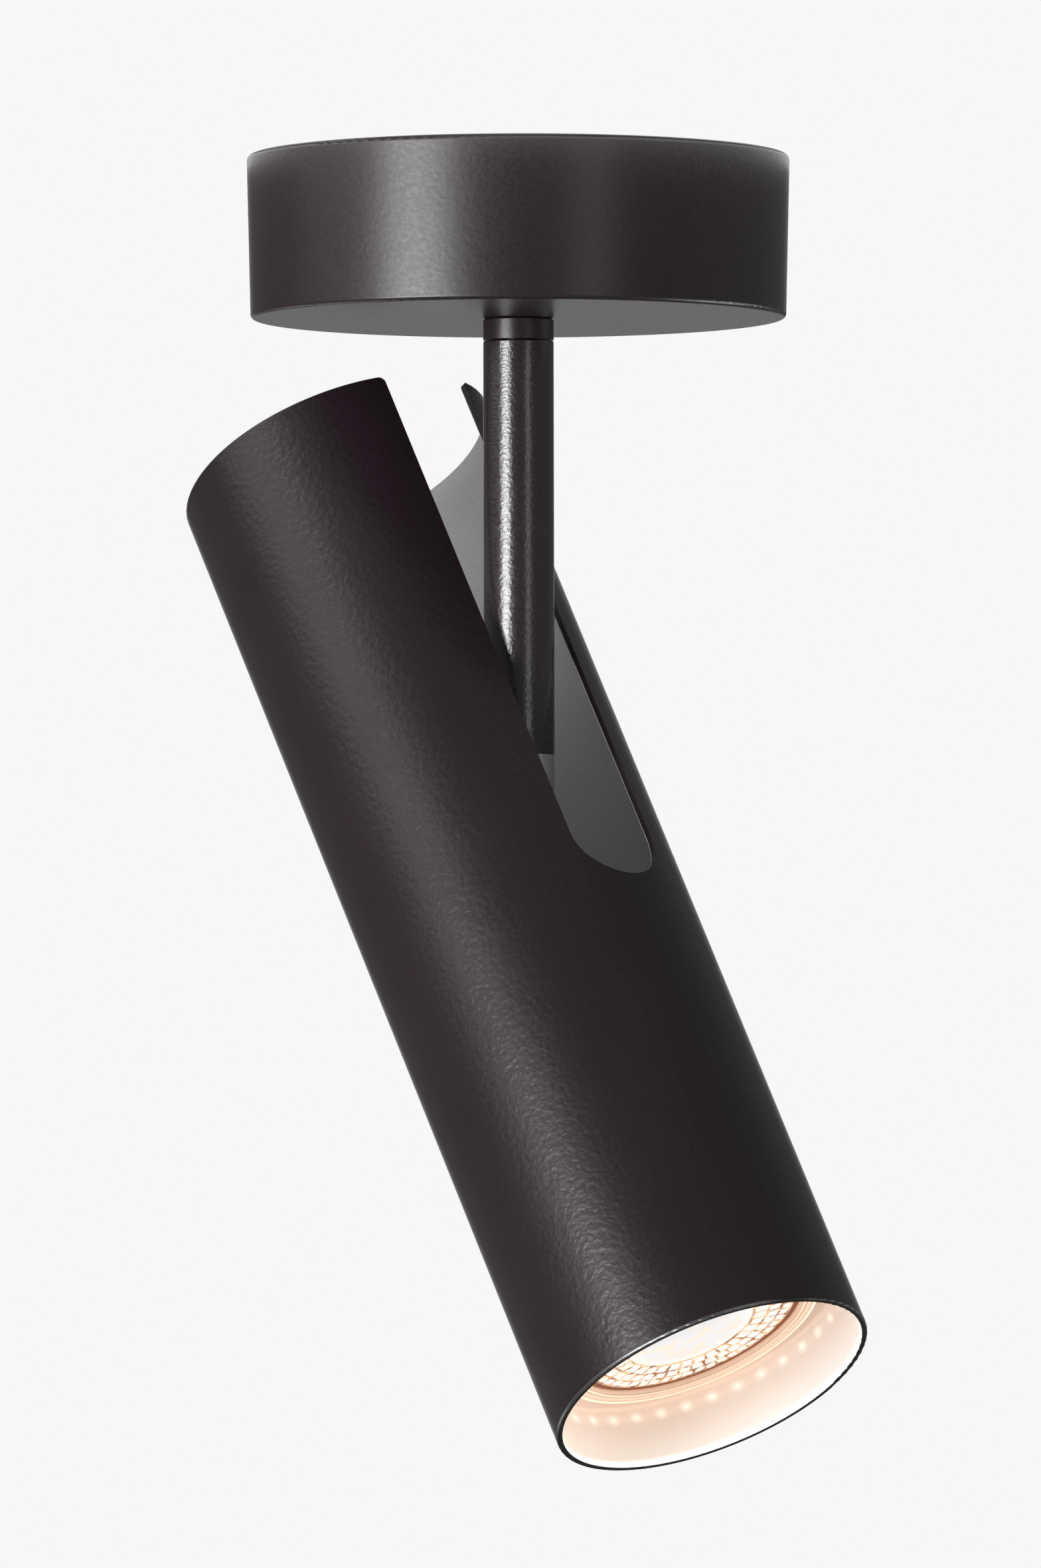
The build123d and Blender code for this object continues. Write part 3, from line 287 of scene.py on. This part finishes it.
def black_paint(name, low, high, grain, scale=PEBBLE_SCALE, ior=PAINT_IOR):
    """Black powder coat, between two roughnesses."""
    paint = Surface(name)
    paint.set(
        Base_Color=black_tint(paint),
        Roughness=paint.spread(paint.noise(SPECK_SCALE), low, high),
        IOR=ior,
        Normal=powder_grain(paint, grain, scale),
    )
    return paint.material


def round_and_deep(surface):
    """A point's distance from the tube's axis, its turn about it, and its height, in metres and radians."""
    shift = -(Matrix.Rotation(HEAD_TILT, 3, "Y") @ HINGE)
    turned = {"Vector": surface.place, "Location": shift, "Rotation": (0.0, HEAD_TILT, 0.0)}
    place = surface.node("Mapping", turned).outputs["Vector"]
    across, along, height = surface.node("SeparateXYZ", {"Vector": place}).outputs
    flat = surface.node("CombineXYZ", {"X": across, "Y": along}).outputs[0]
    radius = surface.vector("LENGTH", flat).outputs["Value"]
    return radius, surface.math("ARCTAN2", along, across), height


def off_side(surface, turn, side):
    """The cosine of a point's turn from a side of the tube."""
    return surface.math("COSINE", surface.math("SUBTRACT", turn, side))


def tube_paint():
    """Black powder coat outside and white lacquer inside, with the lamp's light painted on the lacquer at the
    mouth as a glow.
    """
    paint = Surface("tube_paint")
    radius, turn, height = round_and_deep(paint)
    depth = paint.math("SUBTRACT", height, TUBE_MOUTH * MM)
    outside = paint.grow(radius, *(TUBE_INNER + edge for edge in LACQUER_EDGE))
    inside = paint.math("SUBTRACT", 1.0, outside)
    rim = paint.fade(depth, *RIM_DEPTH)
    # painted highlight: a lighter metallic stretch of the outer corner, on the side where the key lamp glints
    glint_stretch = paint.math("MULTIPLY", rim, glint_corner(paint, radius, turn))
    white = paint.mix(paint.noise(90.0, 3.0), colour(0.76, 0.75, 0.755), colour(0.81, 0.8, 0.805))
    # painted shade: the rim's end face is painted near black
    coat = paint.mix(rim, black_tint(paint), grey(RIM_SHADE_TINT))
    black = paint.mix(glint_stretch, coat, grey(GLINT_TINT))
    specks = paint.noise(SPECK_SCALE)
    rough_white = paint.spread(specks, 0.3, 0.42)
    rough_coat = paint.blend(rim, paint.spread(specks, *TUBE_ROUGHNESS), RIM_ROUGHNESS)
    rough_black = paint.blend(glint_stretch, rough_coat, GLINT_ROUGHNESS)
    grain = paint.span(depth, SMOOTH_DEPTH[0] * MM, SMOOTH_DEPTH[1] * MM, 0.05, 1.0)
    # painted light: the lamp's light on the lacquer is an emission of the tube's own inside
    glow, tint = painted_lamp_light(paint, turn, depth)
    paint.set(
        Base_Color=paint.mix(outside, white, black),
        Roughness=paint.blend(outside, rough_white, rough_black),
        Metallic=glint_stretch,
        IOR=PAINT_IOR,
        Normal=powder_grain(paint, grain, TUBE_PEBBLE_SCALE, TUBE_PEBBLE_HEIGHT),
        Emission_Color=tint,
        Emission_Strength=paint.math("MULTIPLY", glow, inside),
    )
    return paint.material


def glint_corner(surface, radius, turn):
    """The stretch of the tube's outer corner in lighter metal, put where the key lamp glints on it as a painted
    highlight: 1 there and 0 elsewhere.
    """
    outer = surface.grow(radius, *(TUBE_OUTER - edge for edge in GLINT_CORNER))
    stretch = surface.span(off_side(surface, turn, GLINT_SIDE), *GLINT_SPREAD, 0.0, 1.0)
    return surface.math("MULTIPLY", outer, stretch)


def painted_lamp_light(surface, turn, depth):
    """The strength and the colour of the lamp's light, painted on the tube's inside as a glow."""
    wall = surface.span(depth, WALL_DEPTH[0] * MM, WALL_DEPTH[1] * MM, *WALL_GLOW)
    # painted shade: the painted glow is weaker on one side of the tube
    weak = surface.span(off_side(surface, turn, WEAK_SIDE), 0.0, 1.0, 1.0, WEAK_GLOW)
    near = surface.math("MULTIPLY", wall, weak)
    spots = beam_spots(surface, turn, depth)
    haze = surface.span(depth, HAZE_DEPTH[0] * MM, HAZE_DEPTH[1] * MM, 0.0, HAZE_GLOW)
    spill = surface.math("ADD", haze, band(surface, depth, RING_DEPTH, RING_HALF, RING_GLOW))
    beam = surface.math("ADD", surface.math("MULTIPLY", spots, SPOT_GLOW), spill)
    lit = surface.math("MULTIPLY", surface.math("ADD", near, beam), surface.fade(depth, *LIGHT_END))
    # painted highlight: the white glow on the lip is added to the painted glow
    glow = surface.math("ADD", lit, surface.fade(depth, *LIP_DEPTH, LIP_GLOW))
    pale = surface.mix(surface.grow(depth, *PALE_DEPTH), colour(1.0, 0.97, 0.92), colour(1.0, 0.82, 0.64))
    warm = surface.mix(surface.grow(depth, *WARM_DEPTH), pale, colour(1.0, 0.67, 0.47))
    return glow, surface.mix(spots, warm, colour(1.0, 0.9, 0.72))


def band(surface, depth, level, half, strength=1.0):
    """A soft ring of painted light round the tube's inside, at a depth from its mouth in millimetres."""
    off = surface.math("ABSOLUTE", surface.math("SUBTRACT", depth, level * MM))
    return surface.fade(off, 0.0, half, strength)


def beam_spots(surface, turn, depth):
    """The row of soft spots of the lens's light, painted on the tube's inside: 1 in a spot's middle."""
    cell = surface.math("FRACT", surface.math("MULTIPLY", turn, SPOT_COUNT / FULL_TURN))
    aside = surface.math("ABSOLUTE", surface.math("SUBTRACT", cell, 0.5))
    wide = surface.span(aside, 0.0, SPOT_WIDTH, 1.0, 0.0)
    return surface.math("MULTIPLY", wide, band(surface, depth, SPOT_DEPTH, SPOT_HALF))


def plated(name, low_tint, high_tint, low, high):
    """Plated metal with a faint grain, between two roughnesses."""
    metal = Surface(name)
    patches = metal.noise(220.0, 4.0)
    fine = metal.noise(1980.0)
    metal.set(
        Base_Color=metal.mix(patches, low_tint, high_tint),
        Metallic=1.0,
        Roughness=metal.spread(fine, low, high),
        Normal=metal.bump(fine, 6e-6, 0.25),
    )
    return metal.material


def moulded(name, low_tint, high_tint, low, high, see_through=0.0):
    """Moulded plastic, rubber or ceramic, between two roughnesses."""
    stuff = Surface(name)
    patches = stuff.noise(160.0, 3.0)
    fine = stuff.noise(1900.0)
    stuff.set(
        Base_Color=stuff.mix(patches, low_tint, high_tint),
        Roughness=stuff.spread(fine, low, high),
        Normal=stuff.bump(fine, 9e-6, 0.3),
        Subsurface_Weight=see_through,
        Subsurface_Radius=(0.0012, 0.001, 0.0008),
    )
    return stuff.material


def glowing_rim():
    """The lamp's rim, which its own light shines through."""
    rim = Surface("lamp_rim")
    radius, _, height = round_and_deep(rim)
    rings = rim.node("TexNoise", {"W": radius, "Scale": BEZEL_RING_SCALE, "Detail": 2.0}, noise_dimensions="1D")
    tone = rim.span(rings.outputs["Fac"], 0.36, 0.62, 0.0, 1.0)
    proud = rim.grow(height, *(LAMP_FACE + rise for rise in BEZEL_PROUD))
    band_tint = rim.mix(tone, colour(0.54, 0.34, 0.22), colour(0.84, 0.57, 0.4))
    rim.set(
        Base_Color=rim.mix(tone, colour(0.6, 0.42, 0.3), colour(0.78, 0.62, 0.48)),
        Roughness=rim.spread(rim.noise(SPECK_SCALE), 0.3, 0.45),
        Emission_Color=rim.mix(proud, band_tint, colour(1.0, 0.86, 0.68)),
        Emission_Strength=rim.span(proud, 0.0, 1.0, *BEZEL_GLOW),
    )
    return rim.material


def lit_lens():
    """The lamp's moulded front: bright facets with amber lines between them, and a dark line round its edge."""
    lens = Surface("lit_lens")
    radius, _, _ = round_and_deep(lens)
    border = lens.node("Attribute", attribute_name="facet").outputs["Fac"]
    ragged = lens.math("ADD", border, lens.spread(lens.noise(700.0), -0.12, 0.12))
    cell = lens.span(ragged, 0.07, 0.42, 0.0, 1.0)
    flecks = lens.span(lens.noise(420.0, 3.0), 0.46, 0.66, 0.0, 0.7)
    middle = lens.mix(flecks, colour(0.79, 0.81, 0.84), colour(0.98, 0.8, 0.62))
    bright = lens.mix(lens.grow(radius, 9.5, 13.0), middle, colour(1.0, 0.96, 0.9))
    uneven = lens.span(lens.noise(480.0), 0.38, 0.6, 0.0, 1.0)
    lines = lens.mix(uneven, colour(0.3, 0.085, 0.015), colour(1.0, 0.6, 0.3))
    facets = lens.mix(cell, lines, bright)
    gap = lens.grow(radius, *(LENS_RADIUS - edge for edge in LENS_GAP))
    lens.set(
        Base_Color=colour(0.12, 0.07, 0.035),
        IOR=LENS_IOR,
        Roughness=lens.span(cell, 0.0, 1.0, 0.3, 0.12),
        Emission_Color=lens.mix(gap, facets, colour(0.32, 0.05, 0.006)),
        Emission_Strength=lens.span(gap, 0.0, 1.0, LENS_GLOW, GAP_GLOW),
    )
    return lens.material


def dress(names, material):
    """Gives CAD nodes a material."""
    for name in names:
        slots = frame["nodes"][name].data.materials
        slots.clear()
        slots.append(material)


def materials():
    """The finish of every CAD node that shows."""
    dress(["canopy", "swivel_collar"], black_paint("canopy_paint", 0.32, 0.38, 0.36))
    dress(["stem_tube"], black_paint("stem_paint", 0.2, 0.28, 0.7, STEM_PEBBLE_SCALE, STEM_IOR))
    dress(["shade_tube"], tube_paint())
    dress(["canopy_screws", "shade_screws"], black_paint("black_screws", 0.3, 0.42, 0.4))
    zinc = plated("zinc_plate", colour(0.5, 0.51, 0.53), colour(0.66, 0.66, 0.67), 0.24, 0.4)
    dress(["ceiling_bracket", "swivel_stop_plate", "collar_nut", "swivel_stop_arm", "swivel_nut"], zinc)
    dress(["swivel_nipple", "stem_plug", "pivot_fork", "pivot_bolt", "pivot_nut", "bulkhead"], zinc)
    dress(["holder_screws", "terminal_screws", "terminal_fixing_screw"], zinc)
    spring = plated("spring_steel", colour(0.2, 0.19, 0.18), colour(0.34, 0.32, 0.3), 0.3, 0.45)
    dress(["swivel_spring_washer", "pivot_spring_washer"], spring)
    nickel = plated("nickel_plate", colour(0.8, 0.79, 0.77), colour(0.88, 0.87, 0.85), 0.3, 0.42)
    dress(["hinge_knuckle", "lamp_pins"], nickel)
    brass = plated("brass", colour(0.62, 0.44, 0.18), colour(0.74, 0.56, 0.26), 0.24, 0.38)
    dress(["terminal_sleeves", "holder_contacts", "earth_screw", "earth_washer"], brass)
    rubber = moulded("rubber", colour(0.02, 0.02, 0.021), colour(0.032, 0.031, 0.032), 0.6, 0.8)
    dress(["cable_grommet", "bulkhead_grommet"], rubber)
    nylon = moulded("nylon", colour(0.72, 0.7, 0.62), colour(0.8, 0.78, 0.71), 0.4, 0.55, 0.2)
    dress(["swivel_friction_washer", "pivot_washers", "nipple_bush", "terminal_block"], nylon)
    ceramic = moulded("ceramic", colour(0.74, 0.71, 0.64), colour(0.82, 0.79, 0.73), 0.5, 0.7)
    dress(["lamp_holder"], ceramic)
    shell = moulded("lamp_shell", colour(0.76, 0.74, 0.7), colour(0.82, 0.8, 0.77), 0.35, 0.5, 0.15)
    dress(["lamp_shell", "lamp_cap", "lamp_board"], shell)
    dress(["lamp_leds"], moulded("phosphor", colour(0.8, 0.6, 0.15), colour(0.9, 0.7, 0.25), 0.4, 0.6))


def turns(count):
    """Even steps all the way round."""
    return [FULL_TURN * step / count for step in range(count)]


def ring_point(radius, turn, height):
    return radius * math.cos(turn), radius * math.sin(turn), height


def skin(bm, columns, closed):
    """Quads from each column of points to the next, all the way round."""
    for column, after in zip(columns, columns[1:] + columns[:1]):
        for index in range(len(column) if closed else len(column) - 1):
            follow = (index + 1) % len(column)
            bm.faces.new((column[index], column[follow], after[follow], after[index]))


def mesh_object(name, bm, material):
    """A new object in the scene, with a mesh and its material."""
    mesh = bpy.data.meshes.new(name)
    bm.to_mesh(mesh)
    bm.free()
    mesh.materials.append(material)
    made = bpy.data.objects.new(name, mesh)
    bpy.context.scene.collection.objects.link(made)
    return made


def head_piece(name, bm, material, body, node):
    """Places a piece made in the tube's frame, in millimetres, in place of a CAD node."""
    bmesh.ops.recalc_face_normals(bm, faces=bm.faces)
    for face in bm.faces:
        face.smooth = True
    for edge in bm.edges:
        edge.smooth = len(edge.link_faces) == 2 and edge.calc_face_angle() < SHARP_EDGE
    piece = mesh_object(name, bm, material)
    piece.data.transform(HEAD @ Matrix.Scale(MM, 4))
    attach(piece, body)
    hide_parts(node)


def bezel():
    """The lamp's stepped front rim, with a raised lip each side of a flat band."""
    face = LAMP_FACE
    inner = LENS_RADIUS + 0.1
    profile = [
        (inner, BEZEL_BACK),
        (inner, face + 0.55),
        (inner + 0.15, face + 0.22),
        (inner + 0.45, face + 0.12),
        (inner + 0.62, face + 0.2),
        (inner + 0.72, face + 0.5),
        (inner + 0.9, face + 0.52),
        (inner + 1.0, face + 0.3),
        (inner + 1.9, face + 0.2),
        (inner + 2.0, face + 0.42),
        (inner + 2.12, face + 0.42),
        (inner + 2.22, face + 0.05),
        (inner + 2.5, face),
        (LAMP_RADIUS - 0.3, face + 0.16),
        (LAMP_RADIUS - 0.06, face + 0.5),
        (LAMP_RADIUS, face + 0.9),
        (LAMP_RADIUS, BEZEL_BACK),
    ]
    bm = bmesh.new()
    columns = [[bm.verts.new(ring_point(r, turn, z)) for r, z in profile] for turn in turns(BEZEL_SIDES)]
    skin(bm, columns, closed=True)
    head_piece("stepped_rim", bm, glowing_rim(), "lamp", "lamp_bezel")


def inside_facet(radius, turn):
    """How far inside its facet a point of the lens lies, in millimetres from the facet's nearest edge."""
    for index, (low, high, count) in enumerate(FACET_RINGS):
        if low <= radius < high:
            radial = min(radius - low, high - radius)
            around = (turn / FULL_TURN * count + 0.5 * (index % 2)) % 1.0
            return min(radial, min(around, 1.0 - around) * FULL_TURN * radius / count)
    if radius < FACET_RINGS[0][0]:
        return min(1.0, FACET_RINGS[0][0] - radius)
    return min(radius - FACET_RINGS[-1][1], LENS_RADIUS - radius)


def lens():
    """The lamp's domed front, moulded in rings of facets round a plain middle."""
    first, last = FACET_RINGS[0][0], FACET_RINGS[-1][1]
    radii = list(LENS_MIDDLE)
    for low, high, _ in FACET_RINGS:
        radii += [low + (high - low) * row / FACET_ROWS for row in range(FACET_ROWS)]
    radii += [last, (last + LENS_RADIUS) / 2, LENS_RADIUS]
    bm = bmesh.new()
    layer = bm.verts.layers.float.new("facet")
    columns = []
    for turn in turns(LENS_SIDES):
        column = []
        for radius in radii:
            share = inside_facet(radius, turn)
            dome = LENS_FRONT + LENS_DOME * (radius / LENS_RADIUS) ** 2
            rise = FACET_RISE * min(1.0, share) if radius >= first else 0.0
            vertex = bm.verts.new(ring_point(radius, turn, dome - rise))
            vertex[layer] = share
            column.append(vertex)
        column.append(bm.verts.new(ring_point(LENS_RADIUS, turn, LENS_BACK)))
        columns.append(column)
    skin(bm, columns, closed=False)
    bm.faces.new([column[0] for column in columns])
    bm.faces.new([column[-1] for column in columns])
    head_piece("faceted_lens", bm, lit_lens(), "lamp", "lamp_lens")


def camera():
    """The photo's camera."""
    data = bpy.data.cameras.new("camera")
    data.sensor_width = SENSOR_WIDTH
    data.lens = VIEW_LENS
    data.clip_end = VIEW_END
    made = bpy.data.objects.new("camera", data)
    bpy.context.scene.collection.objects.link(made)
    level = math.cos(VIEW_RISE)
    ahead = Vector((-math.sin(VIEW_SIDE) * level, math.cos(VIEW_SIDE) * level, math.sin(VIEW_RISE)))
    aim = ahead.to_track_quat("-Z", "Y").to_matrix().to_4x4()
    made.matrix_world = Matrix.Translation(EYE) @ aim @ Matrix.Rotation(VIEW_ROLL, 4, "Z")
    bpy.context.scene.camera = made


def soft_box(name, aside, rise, distance, width, height, radiance):
    """A soft lamp that faces the object."""
    turn = VIEW_SIDE + math.radians(aside)
    level = math.cos(math.radians(rise))
    out = Vector((math.sin(turn) * level, -math.cos(turn) * level, math.sin(math.radians(rise))))
    data = bpy.data.lights.new(name, "AREA")
    data.shape = "RECTANGLE"
    data.size = width
    data.size_y = height
    data.energy = radiance * math.pi * width * height
    made = bpy.data.objects.new(name, data)
    bpy.context.scene.collection.objects.link(made)
    aim = out.to_track_quat("Z", "Y").to_matrix().to_4x4()
    made.matrix_world = Matrix.Translation(TARGET + out * distance) @ aim


def world():
    """A pale backdrop for the camera. Gloss sees it behind the object and overhead, and a dim room elsewhere."""
    made = bpy.data.worlds.new("studio")
    made.use_nodes = True
    made.node_tree.nodes.clear()
    sky = Nodes(made.node_tree)

    def background(tone, strength):
        return sky.node("Background", {"Color": grey(tone), "Strength": strength}).outputs[0]

    toward = sky.node("TexCoord").outputs["Generated"]
    rise = sky.node("SeparateXYZ", {0: toward}).outputs[2]
    level = sky.vector("MULTIPLY", toward, (1.0, 1.0, 0.0)).outputs[0]
    ahead = sky.vector("NORMALIZE", level).outputs[0]
    away = (-math.sin(VIEW_SIDE), math.cos(VIEW_SIDE), 0.0)
    behind = sky.vector("DOT_PRODUCT", ahead, away).outputs["Value"]
    facing = sky.span(behind, math.cos(BACKDROP_FADE), math.cos(BACKDROP_HALF), 0.0, 1.0)
    below = sky.span(rise, *BACKDROP_TOP, 1.0, 0.0)
    above = sky.span(rise, *BACKDROP_FOOT, 0.0, 1.0)
    overhead = sky.span(rise, *OVERHEAD, 0.0, 1.0)
    wall = sky.math("MULTIPLY", sky.math("MULTIPLY", facing, below), above)
    backdrop = sky.math("MAXIMUM", wall, overhead)
    path = sky.node("LightPath").outputs
    gloss = sky.math("MAXIMUM", path["Is Glossy Ray"], path["Is Transmission Ray"])
    mirrored = background(PALE, sky.span(backdrop, 0.0, 1.0, ROOM_GLOSS, 1.0))
    dim = sky.either(gloss, background(1.0, ROOM_LIGHT), mirrored)
    seen = sky.either(path["Is Camera Ray"], dim, background(PALE, 1.0))
    sky.node("OutputWorld", {"Surface": seen})
    bpy.context.scene.world = made


def floor():
    """A plain pale floor well under the lamp. From below it is clear, so that it never hides the object."""
    surface = Surface("floor")
    surface.set(Base_Color=surface.mix(surface.noise(3.0), grey(0.78), grey(0.82)), Roughness=0.7)
    pale = surface.node("Emission", {"Color": grey(PALE), "Strength": 1.0}).outputs[0]
    share = surface.math("MULTIPLY", surface.node("LightPath").outputs["Is Camera Ray"], FLOOR_SHARE)
    surface.show_front(surface.either(share, surface.shader.outputs[0], pale))
    bm = bmesh.new()
    bmesh.ops.create_grid(bm, x_segments=FLOOR_CELLS, y_segments=FLOOR_CELLS, size=FLOOR_HALF)
    made = mesh_object("floor", bm, surface.material)
    made.location.z = FLOOR_LEVEL
    made.visible_glossy = False


def ceiling():
    """The bright ceiling close round the canopy, which only the canopy's gloss sees. It faces down."""
    surface = Surface("ceiling")
    surface.show_front(surface.node("Emission", {"Color": grey(1.0), "Strength": CEILING_GLOW}).outputs[0])
    bm = bmesh.new()
    radii = (CANOPY_RADIUS + CEILING_WIDTH, CANOPY_RADIUS + CEILING_GAP)
    columns = [[bm.verts.new(ring_point(r, turn, CEILING_GAP)) for r in radii] for turn in turns(CEILING_SIDES)]
    skin(bm, columns, closed=False)
    made = mesh_object("ceiling", bm, surface.material)
    made.visible_camera = False
    made.visible_diffuse = False
    made.visible_shadow = False


materials()
bezel()
lens()
camera()
for lamp, values in LAMPS.items():
    soft_box(lamp, *values)
world()
floor()
ceiling()
bpy.context.scene.view_settings.view_transform = "Standard"
